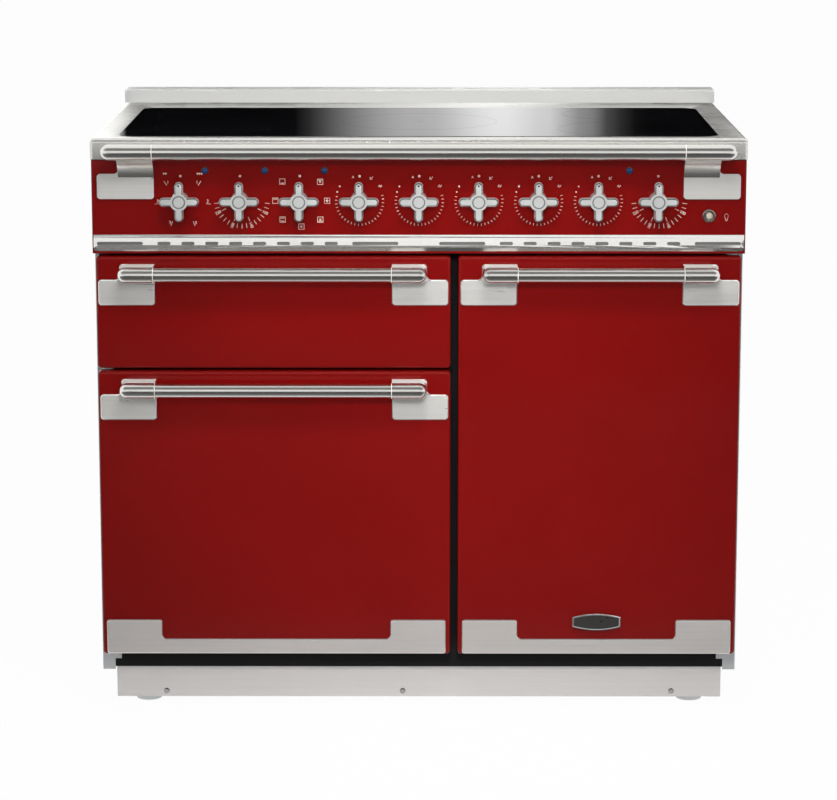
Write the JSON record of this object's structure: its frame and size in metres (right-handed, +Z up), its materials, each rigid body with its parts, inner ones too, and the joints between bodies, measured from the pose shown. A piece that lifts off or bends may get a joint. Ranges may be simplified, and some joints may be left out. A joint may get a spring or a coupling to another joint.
{
  "type": "range cooker",
  "caption": "Range cooker with induction hob, glide-out grill, small left oven and tall right oven, front rail, cross knobs, plinth, feet and rear rollers.",
  "frame": {"origin": "on the floor under the middle of the whole cooker", "axes": "+X to the right seen from the front, -Y to the front, +Z up"},
  "size_m": [0.995, 0.648, 0.927],
  "materials": {
    "red_enamel": "gloss enamel",
    "stainless": "brushed",
    "bright_steel": "satin polished",
    "satin_silver": "satin plated",
    "black_glass": "polished black ceramic glass",
    "grey_steel": "coated sheet",
    "dark_steel": "dark coated sheet",
    "cavity_enamel": "speckled dark enamel",
    "chromed_wire": "chromed",
    "element_steel": "oxidised",
    "wool": "mineral wool",
    "seal_rope": "woven glass fibre",
    "copper_coil": "lacquered copper",
    "aluminium_sheet": "mill",
    "black_plastic": "matt",
    "lamp_blue": "gloss",
    "cream_plastic": "gloss",
    "roller_rubber": "matt"
  },
  "bodies": {
    "chassis": {"left_side_panel": "grey_steel", "right_side_panel": "grey_steel", "back_panel": "grey_steel", "chassis_base": "dark_steel", "front_frame": "dark_steel", "hob_tray": "stainless", "hob_glass": "black_glass", "rear_upstand": "stainless", "coil_carrier": "aluminium_sheet", "induction_coils": "copper_coil", "hob_rail": "bright_steel", "control_panel": "red_enamel", "vent_trim": "stainless", "control_switches": "black_plastic", "indicator_lamps": "lamp_blue", "plinth": "stainless", "plinth_screws": "bright_steel", "terminal_box": "black_plastic", "grill_cavity": "cavity_enamel", "heating_elements": "element_steel", "grill_runners": "grey_steel", "left_oven_cavity": "cavity_enamel", "right_oven_cavity": "cavity_enamel", "fan_covers": "cavity_enamel", "fan_motors": "grey_steel", "oven_shelves": "chromed_wire", "door_seals": "seal_rope", "door_fittings": "grey_steel", "cavity_insulation": "wool"},
    "knob_grill": {"knob_grill": "satin_silver"},
    "knob_left_oven_temperature": {"knob_left_oven_temperature": "satin_silver"},
    "knob_left_oven_function": {"knob_left_oven_function": "satin_silver"},
    "knob_zone_1": {"knob_zone_1": "satin_silver"},
    "knob_zone_2": {"knob_zone_2": "satin_silver"},
    "knob_zone_3": {"knob_zone_3": "satin_silver"},
    "knob_zone_4": {"knob_zone_4": "satin_silver"},
    "knob_zone_5": {"knob_zone_5": "satin_silver"},
    "knob_right_oven_temperature": {"knob_right_oven_temperature": "satin_silver"},
    "light_switch_button": {"light_switch_button": "cream_plastic"},
    "grill_drawer": {"grill_front": "red_enamel", "grill_handle": "bright_steel", "grill_carriage": "grey_steel", "grill_pan": "cavity_enamel", "grill_rack": "chromed_wire"},
    "grill_middle_runners": {"grill_middle_runners": "grey_steel"},
    "left_door": {"left_door_panel": "red_enamel", "left_door_liner": "cavity_enamel", "left_door_handle": "bright_steel", "left_door_trim": "stainless"},
    "right_door": {"right_door_panel": "red_enamel", "right_door_liner": "cavity_enamel", "right_door_handle": "bright_steel", "right_door_trim": "stainless", "badge_plate": "bright_steel"},
    "left_oven_fan": {"left_oven_fan": "grey_steel"},
    "right_oven_fan": {"right_oven_fan": "grey_steel"},
    "front_foot_left": {"front_foot_left": "grey_steel"},
    "front_foot_right": {"front_foot_right": "grey_steel"},
    "rear_roller_left": {"rear_roller_left": "roller_rubber"},
    "rear_roller_right": {"rear_roller_right": "roller_rubber"}
  },
  "joints": [
    {"name": "grill_slide", "type": "slide", "parent": "chassis", "child": "grill_drawer", "axis": [0, -1, 0], "range_m": [0, 0.33]},
    {"name": "grill_middle_slide", "type": "slide", "parent": "chassis", "child": "grill_middle_runners", "axis": [0, -1, 0], "range_m": [0, 0.165]},
    {"name": "left_door_hinge", "type": "hinge", "parent": "chassis", "child": "left_door", "pos_m": [-0.478, -0.258, 0.3225], "axis": [0, 0, -1], "range_deg": [0, 110]},
    {"name": "right_door_hinge", "type": "hinge", "parent": "chassis", "child": "right_door", "pos_m": [0.478, -0.258, 0.4115], "axis": [0, 0, 1], "range_deg": [0, 110]},
    {"name": "knob_grill_turn", "type": "hinge", "parent": "chassis", "child": "knob_grill", "pos_m": [-0.3616, -0.281, 0.811], "axis": [0, 1, 0], "range_deg": [-150, 150]},
    {"name": "knob_left_oven_temperature_turn", "type": "hinge", "parent": "chassis", "child": "knob_left_oven_temperature", "pos_m": [-0.2712, -0.281, 0.811], "axis": [0, 1, 0], "range_deg": [0, 270]},
    {"name": "knob_left_oven_function_turn", "type": "hinge", "parent": "chassis", "child": "knob_left_oven_function", "pos_m": [-0.1808, -0.281, 0.811], "axis": [0, 1, 0], "continuous": true},
    {"name": "knob_zone_1_turn", "type": "hinge", "parent": "chassis", "child": "knob_zone_1", "pos_m": [-0.0904, -0.281, 0.811], "axis": [0, 1, 0], "range_deg": [-20, 310]},
    {"name": "knob_zone_2_turn", "type": "hinge", "parent": "chassis", "child": "knob_zone_2", "pos_m": [0, -0.281, 0.811], "axis": [0, 1, 0], "range_deg": [-20, 310]},
    {"name": "knob_zone_3_turn", "type": "hinge", "parent": "chassis", "child": "knob_zone_3", "pos_m": [0.0904, -0.281, 0.811], "axis": [0, 1, 0], "range_deg": [-20, 310]},
    {"name": "knob_zone_4_turn", "type": "hinge", "parent": "chassis", "child": "knob_zone_4", "pos_m": [0.1808, -0.281, 0.811], "axis": [0, 1, 0], "range_deg": [-20, 310]},
    {"name": "knob_zone_5_turn", "type": "hinge", "parent": "chassis", "child": "knob_zone_5", "pos_m": [0.2712, -0.281, 0.811], "axis": [0, 1, 0], "range_deg": [-20, 310]},
    {"name": "knob_right_oven_temperature_turn", "type": "hinge", "parent": "chassis", "child": "knob_right_oven_temperature", "pos_m": [0.3616, -0.281, 0.811], "axis": [0, 1, 0], "range_deg": [0, 270]},
    {"name": "light_switch_press", "type": "slide", "parent": "chassis", "child": "light_switch_button", "axis": [0, 1, 0], "range_m": [0, 0.002], "stiffness_N_per_m": 500},
    {"name": "left_oven_fan_spin", "type": "hinge", "parent": "chassis", "child": "left_oven_fan", "pos_m": [-0.2215, 0.15, 0.3225], "axis": [0, 1, 0], "continuous": true},
    {"name": "right_oven_fan_spin", "type": "hinge", "parent": "chassis", "child": "right_oven_fan", "pos_m": [0.276, 0.15, 0.4115], "axis": [0, 1, 0], "continuous": true},
    {"name": "front_foot_left_screw", "type": "slide", "parent": "chassis", "child": "front_foot_left", "axis": [0, 0, -1], "range_m": [0, 0.025]},
    {"name": "front_foot_right_screw", "type": "slide", "parent": "chassis", "child": "front_foot_right", "axis": [0, 0, -1], "range_m": [0, 0.025]},
    {"name": "rear_roller_left_roll", "type": "hinge", "parent": "chassis", "child": "rear_roller_left", "pos_m": [-0.43, 0.25, 0.025], "axis": [1, 0, 0], "continuous": true},
    {"name": "rear_roller_right_roll", "type": "hinge", "parent": "chassis", "child": "rear_roller_right", "pos_m": [0.43, 0.25, 0.025], "axis": [1, 0, 0], "continuous": true}
  ],
  "couplings": [
    {"joint": "grill_middle_slide", "follows": "grill_slide", "ratio": 0.5}
  ]
}
